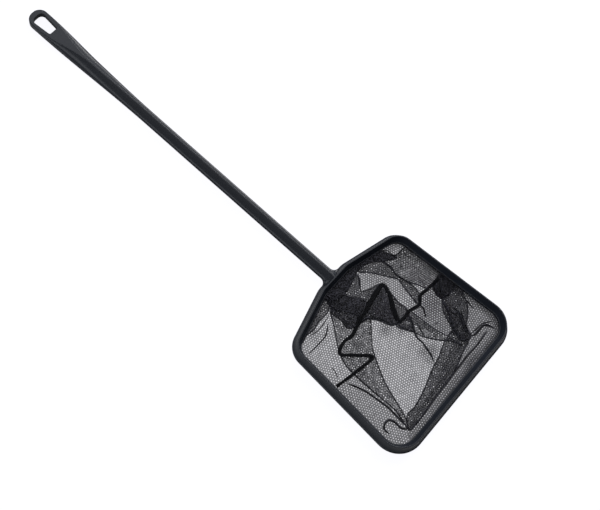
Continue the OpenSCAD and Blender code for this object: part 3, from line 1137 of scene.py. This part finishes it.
def overlock(path, width):
    """An overlocked edge along a path: a core, loops round it and rows of stitches."""
    line, side, far = course(path, seam_step)
    kernel = np.hanning(level_over) / np.hanning(level_over).sum()
    level = np.convolve(np.pad(cloth_top(line), level_over // 2, "edge"), kernel, "valid")
    level = level + seam_up + seam_lift
    wide = width(line) * (1 + waves(np.c_[far, far * 0], *width_swell))

    def place(s, across, up):
        reach = across * np.interp(s, far, wide)
        plan = sampled(s, far, line) + sampled(s, far, side) * reach[:, None]
        return np.c_[plan, np.interp(s, far, level) + up]

    turns = np.linspace(0, 2 * math.pi, core_sides + 1)[:-1]
    rings = [
        [
            place(np.array([s]), math.cos(t) * core_w, math.sin(t) * seam_up * core_h)[0]
            for t in turns
        ]
        for s in np.linspace(0, far[-1], int(far[-1] / core_step))
    ]
    add_thread(*skin(rings))
    s = np.linspace(0, far[-1], int(far[-1] / loop_pitch * loop_steps))
    angle = 2 * math.pi * s / loop_pitch
    for shift in (0, math.pi):
        loops = place(s, np.cos(angle + shift), seam_up * np.sin(angle + shift))
        add_thread(*tube(loops, thread_r))
    s = np.linspace(0, far[-1], int(far[-1] / stitch_step))
    for across in row_places:
        up = seam_up + row_wave * np.abs(np.sin(math.pi * s / loop_pitch))
        add_thread(*tube(place(s, across, up), thread_r))


flat_middle, flat_run, flat_end = 1, 15, 131


def seam_width(line):
    """Wider where the seam lies flat, down the long side of the folded bottom."""
    flat = np.exp(-(((line[:, 1] - flat_middle) / flat_run) ** 2)) * (line[:, 0] < flat_end)
    return seam_half + (seam_wide - seam_half) * flat


inner_seam = [(129.9, -53.6), (130.6, -51)] + seam_path[2:-2] + [(133.3, 44), (133.6, 49.5)]
overlock(inner_seam, seam_width)

# The tail is three threads twisted together, and lies on the cloth
tail_path = [(135.6, 26.9), (139.5, 26.8), (141.7, 25.3), (143.6, 23.5)]
tail_r, tail_twist_r, tail_lift, tail_turns = 0.26, 0.4, 0.5, 7
tail_line = smooth_line(tail_path, seam_step)
tail = np.c_[tail_line, cloth_top(tail_line) + tail_lift]
twist = np.linspace(0, tail_turns * 2 * math.pi, len(tail))
for shift in (0, 2 * math.pi / 3, 4 * math.pi / 3):
    round_tail = np.c_[np.cos(twist + shift), np.sin(twist + shift), np.cos(twist + shift)]
    add_thread(*tube(tail + tail_twist_r * round_tail, tail_r))

seam = piece("net_bag_seam", mesh_of("net_bag_seam", seam_points, seam_faces))
seam_thread = yarn(
    "overlock_thread",
    dark=(0.0012, 0.0013, 0.002),
    light=(0.003, 0.0032, 0.0046),
    roughness=0.8,
    fibre_size=0.1,
    bump=0.5,
)
seam.data.materials.append(seam_thread)
seam.data.shade_smooth()
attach(seam, "root")
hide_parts("net_seam")

# Table top, studio light and camera: the net lies on a white sheet, which shows as plain
# white and keeps its shadow. One large soft lamp hangs high over it, and three low ones
# stand at its two sides and beyond the handle's end.
floor_size, floor_z = 3.0, -0.02
floor_half = floor_size / 2
floor_ways = ((-1, -1), (1, -1), (1, 1), (-1, 1))
floor_corners = [(x * floor_half, y * floor_half, 0) for x, y in floor_ways]
floor_mesh = bpy.data.meshes.new("floor")
floor_mesh.from_pydata(floor_corners, [], [(0, 1, 2, 3)])
floor = piece("floor", floor_mesh)
floor.location.z = floor_z * MM
floor_white = bpy.data.materials.new("floor_white")
floor_white.use_nodes = True
sheet = floor_white.node_tree
sheet.nodes.clear()
seen_white, mirrored_white = 0.77, 0.2
sheet_grey, glow_colour, glow_strength = (0.3, 0.3, 0.3, 1), (0.96, 0.96, 1, 1), 1.25
rays = node(sheet, "ShaderNodeLightPath")
mirror_rays = maths(sheet, "MULTIPLY", rays.outputs["Is Glossy Ray"], mirrored_white)
seen_rays = maths(sheet, "MAXIMUM", rays.outputs["Is Camera Ray"], mirror_rays)
seen_rays = maths(sheet, "MAXIMUM", seen_rays, rays.outputs["Is Transmission Ray"])
white_share = maths(sheet, "MULTIPLY", seen_rays, seen_white)
matt = node(sheet, "ShaderNodeBsdfDiffuse", {"Color": sheet_grey})
glow = node(sheet, "ShaderNodeEmission", {"Color": glow_colour, "Strength": glow_strength})
both = node(
    sheet, "ShaderNodeMixShader", {0: white_share, 1: matt.outputs[0], 2: glow.outputs[0]}
)
node(sheet, "ShaderNodeOutputMaterial", {"Surface": both.outputs[0]})
floor_mesh.materials.append(floor_white)

# The room is white where it is seen, and lights the net only faintly
world = bpy.data.worlds.new("studio")
bpy.context.scene.world = world
world.use_nodes = True
room_light = 0.13
room = world.node_tree
room_rays = node(room, "ShaderNodeLightPath")
room_seen = maths(
    room, "MAXIMUM", room_rays.outputs["Is Camera Ray"], room_rays.outputs["Is Transmission Ray"]
)
room_level = maths(room, "MAXIMUM", room_seen, room_light)
room.nodes["Background"].inputs["Color"].default_value = (1, 1, 1, 1)
room.links.new(room_level, room.nodes["Background"].inputs["Strength"])


def softbox(name, at, aim, size, power, tint=(1, 1, 1)):
    """A flat soft lamp that stands at one place, in metres, and faces another."""
    data = bpy.data.lights.new(name, "AREA")
    data.shape, data.size, data.size_y, data.energy = "RECTANGLE", size[0], size[1], power
    data.color = tint
    lamp = bpy.data.objects.new(name, data)
    bpy.context.scene.collection.objects.link(lamp)
    away = np.array(at, float) - np.array(aim, float)
    away /= np.linalg.norm(away)
    across = np.cross((0, 0, 1), away)
    across /= np.linalg.norm(across)
    over = np.cross(away, across)
    faced = Matrix(np.c_[across, over, away].tolist()).to_4x4()
    lamp.matrix_world = Matrix.Translation(at) @ faced


softbox("top_softbox", at=(-0.3, 0.48, 1.09), aim=(0, 0, 0), size=(1.35, 1.1), power=10.8)
softbox("side_softbox", at=(-0.12, 0.94, 0.5), aim=(0.05, 0, 0), size=(0.8, 0.5), power=20)
softbox("end_softbox", at=(-1.1, 0.05, 0.32), aim=(0.05, 0, 0), size=(0.9, 0.5), power=6)
softbox(
    "front_softbox",
    at=(-0.1, -1.0, 0.6),
    aim=(0, 0, 0),
    size=(1.6, 0.6),
    power=12.5,
    tint=(0.93, 0.96, 1),
)

# The camera stands 0.7 m up, off the hoop's -Y side, and looks down at the stem by the
# neck. Its angles are in degrees, and end_seen is where it sees the hoop's far end, in
# millimetres to its right, up and back.
focal_px, picture_px, sensor_mm = 1084.9, 600, 36
tilt, roll, spin = -17.742, 8.596, -40.939
end_seen, end_u = (105.775, -90.764, -714.042), 0.8
hoop_end = far_x - end_u
view_turn = Matrix.Rotation(math.radians(tilt), 3, "X")
view_turn = view_turn @ Matrix.Rotation(math.radians(roll), 3, "Y")
view_turn = view_turn @ Matrix.Rotation(math.radians(spin), 3, "Z")
into_view = view_turn.to_4x4()
for k in range(3):
    into_view[k][3] = (end_seen[k] - view_turn[k][0] * hoop_end) * MM
camera_data = bpy.data.cameras.new("camera")
camera_data.sensor_width = sensor_mm
camera_data.lens = focal_px * sensor_mm / picture_px
camera_data.clip_start = 0.01
camera = bpy.data.objects.new("camera", camera_data)
bpy.context.scene.collection.objects.link(camera)
camera.matrix_world = into_view.inverted()
bpy.context.scene.camera = camera

bpy.context.scene.view_settings.view_transform = "Standard"
